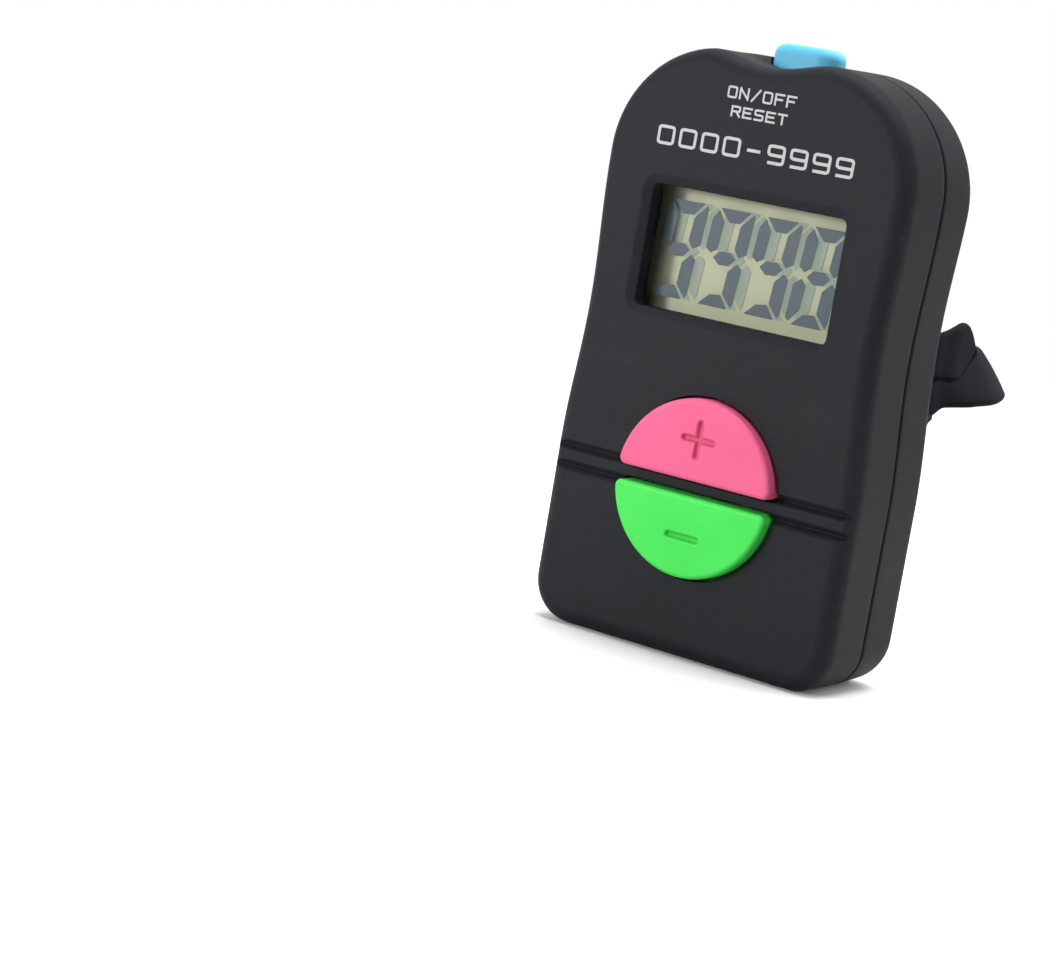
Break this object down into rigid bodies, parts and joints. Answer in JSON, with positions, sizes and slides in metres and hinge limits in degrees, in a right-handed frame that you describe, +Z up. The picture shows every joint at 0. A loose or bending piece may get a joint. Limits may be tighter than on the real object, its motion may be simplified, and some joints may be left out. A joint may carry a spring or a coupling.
{
  "type": "hand tally counter",
  "caption": "Hand-held electronic tally counter with a digit display, half-disc plus and minus buttons, a top reset button and a finger strap.",
  "frame": {"origin": "middle of the flat foot of the case, on its mid depth", "axes": "+Z up along the case towards the top button, +X to the right as the display is read, and the display faces -Y"},
  "size_m": [0.0382, 0.0426, 0.0667],
  "materials": {
    "case_plastic": "fine satin texture",
    "pink_plastic": "satin",
    "green_plastic": "satin",
    "blue_plastic": "satin",
    "display_glass": "clear",
    "display_reflector": "matt",
    "frame_plastic": "matt",
    "contact_rubber": "matt",
    "board": "solder mask",
    "resin": "semi gloss",
    "capacitor": "matt",
    "resistor": "matt",
    "switch_plastic": "matt",
    "steel": "bright",
    "nickel": "plated",
    "strap_rubber": "matt"
  },
  "bodies": {
    "case": {"front_shell": "case_plastic", "rear_shell": "case_plastic", "lcd_front_glass": "display_glass", "lcd_rear_glass": "display_glass", "lcd_reflector": "display_reflector", "lcd_frame": "frame_plastic", "contact_strip": "contact_rubber", "pcb": "board", "chip_cover": "resin", "crystal": "nickel", "capacitor_1": "capacitor", "capacitor_2": "capacitor", "resistor_1": "resistor", "resistor_2": "resistor", "plus_switch_base": "switch_plastic", "plus_switch_cover": "steel", "minus_switch_base": "switch_plastic", "minus_switch_cover": "steel", "power_switch_base": "switch_plastic", "power_switch_cover": "steel", "battery_cell": "nickel", "battery_spring": "nickel", "battery_clip": "nickel", "case_screw_upper_left": "steel", "case_screw_upper_right": "steel", "case_screw_lower_left": "steel", "case_screw_lower_right": "steel", "board_screw_left": "steel", "board_screw_right": "steel", "finger_strap": "strap_rubber", "strap_pin_left": "steel", "strap_pin_right": "steel"},
    "plus": {"plus_button": "pink_plastic"},
    "minus": {"minus_button": "green_plastic"},
    "power": {"power_button": "blue_plastic"},
    "plus_plunger": {"plus_switch_plunger": "switch_plastic"},
    "minus_plunger": {"minus_switch_plunger": "switch_plastic"},
    "power_plunger": {"power_switch_plunger": "switch_plastic"},
    "door": {"battery_door": "case_plastic"}
  },
  "joints": [
    {"name": "plus_press", "type": "slide", "parent": "case", "child": "plus", "axis": [0, 1, 0], "range_m": [0, 0.0006], "stiffness_N_per_m": 1500},
    {"name": "minus_press", "type": "slide", "parent": "case", "child": "minus", "axis": [0, 1, 0], "range_m": [0, 0.0006], "stiffness_N_per_m": 1500},
    {"name": "power_press", "type": "slide", "parent": "case", "child": "power", "axis": [0, 0, -1], "range_m": [0, 0.0006], "stiffness_N_per_m": 1500},
    {"name": "plus_plunger_travel", "type": "slide", "parent": "case", "child": "plus_plunger", "axis": [0, 1, 0], "range_m": [0, 0.0004]},
    {"name": "minus_plunger_travel", "type": "slide", "parent": "case", "child": "minus_plunger", "axis": [0, 1, 0], "range_m": [0, 0.0004]},
    {"name": "power_plunger_travel", "type": "slide", "parent": "case", "child": "power_plunger", "axis": [0, 0, -1], "range_m": [0, 0.0004]},
    {"name": "door_turn", "type": "hinge", "parent": "case", "child": "door", "pos_m": [0, 0.00775, 0.014], "axis": [0, 1, 0], "range_deg": [0, 45]}
  ],
  "couplings": [
    {"joint": "plus_plunger_travel", "follows": "plus_press", "ratio": 0.5},
    {"joint": "minus_plunger_travel", "follows": "minus_press", "ratio": 0.5},
    {"joint": "power_plunger_travel", "follows": "power_press", "ratio": 0.5}
  ]
}
